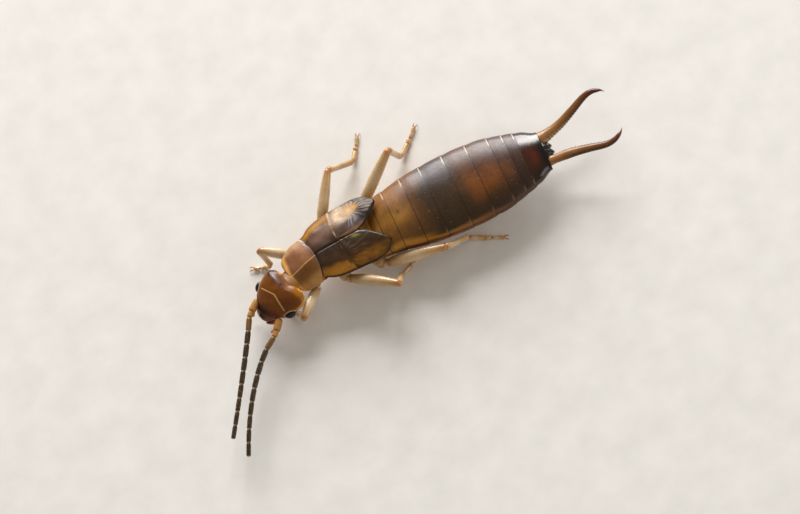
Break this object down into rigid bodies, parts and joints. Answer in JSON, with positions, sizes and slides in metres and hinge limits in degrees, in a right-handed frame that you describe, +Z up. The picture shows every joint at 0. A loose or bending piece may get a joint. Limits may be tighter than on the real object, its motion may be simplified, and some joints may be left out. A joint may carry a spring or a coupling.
{
  "type": "earwig nymph",
  "caption": "Life-size still earwig nymph in a walking pose: ringed abdomen with raised forceps, short wing pads, turned head, long beaded antennae and slender jointed legs.",
  "frame": {"origin": "on the floor under the centre of the bounding box", "axes": "+X towards the tail and the forceps, +Y towards the animal's right side, +Z up"},
  "size_m": [0.0176, 0.0106, 0.0018],
  "materials": {
    "head": "glossy chestnut shell",
    "eye": "glossy black",
    "mouthparts": "glossy red-brown shell",
    "neck": "soft golden skin",
    "antenna_base": "clear honey-coloured shell",
    "antenna_whip": "satin olive-brown",
    "pronotum": "satin brown shell with pale edges",
    "thorax": "satin amber",
    "fore_wing_pad": "satin dark brown with an amber edge",
    "hind_wing_pad": "satin dark brown with pale rays",
    "abdomen_front": "satin amber",
    "abdomen_middle": "satin slate-brown",
    "abdomen_rear": "glossy red-brown",
    "cercus": "glossy honey to red-brown",
    "leg": "clear honey-coloured shell"
  },
  "bodies": {
    "root": {"head": "head", "eye_left": "eye", "eye_right": "eye", "mouthparts": "mouthparts", "neck": "neck", "antenna_scape_left": "antenna_base", "antenna_scape_right": "antenna_base", "antenna_base_left": "antenna_base", "antenna_base_right": "antenna_base", "antenna_middle_left": "antenna_whip", "antenna_middle_right": "antenna_whip", "antenna_tip_left": "antenna_whip", "antenna_tip_right": "antenna_whip", "pronotum": "pronotum", "prothorax": "thorax", "mesothorax": "thorax", "metathorax": "thorax", "fore_wing_pad_left": "fore_wing_pad", "fore_wing_pad_right": "fore_wing_pad", "hind_wing_pad_left": "hind_wing_pad", "hind_wing_pad_right": "hind_wing_pad", "abdomen_01": "abdomen_front", "abdomen_02": "abdomen_front", "abdomen_03": "abdomen_front", "abdomen_04": "abdomen_middle", "abdomen_05": "abdomen_middle", "abdomen_06": "abdomen_middle", "abdomen_07": "abdomen_middle", "abdomen_08": "abdomen_rear", "abdomen_09": "abdomen_rear", "abdomen_10": "abdomen_rear", "pygidium": "abdomen_rear", "cercus_left": "cercus", "cercus_right": "cercus", "coxa_fore_left": "leg", "coxa_fore_right": "leg", "coxa_mid_left": "leg", "coxa_mid_right": "leg", "coxa_hind_left": "leg", "coxa_hind_right": "leg", "femur_fore_left": "leg", "femur_fore_right": "leg", "femur_mid_left": "leg", "femur_mid_right": "leg", "femur_hind_left": "leg", "femur_hind_right": "leg", "tibia_fore_left": "leg", "tibia_fore_right": "leg", "tibia_mid_left": "leg", "tibia_mid_right": "leg", "tibia_hind_left": "leg", "tibia_hind_right": "leg", "tarsus_fore_left": "leg", "tarsus_fore_right": "leg", "tarsus_mid_left": "leg", "tarsus_mid_right": "leg", "tarsus_hind_left": "leg", "tarsus_hind_right": "leg"}
  },
  "joints": []
}
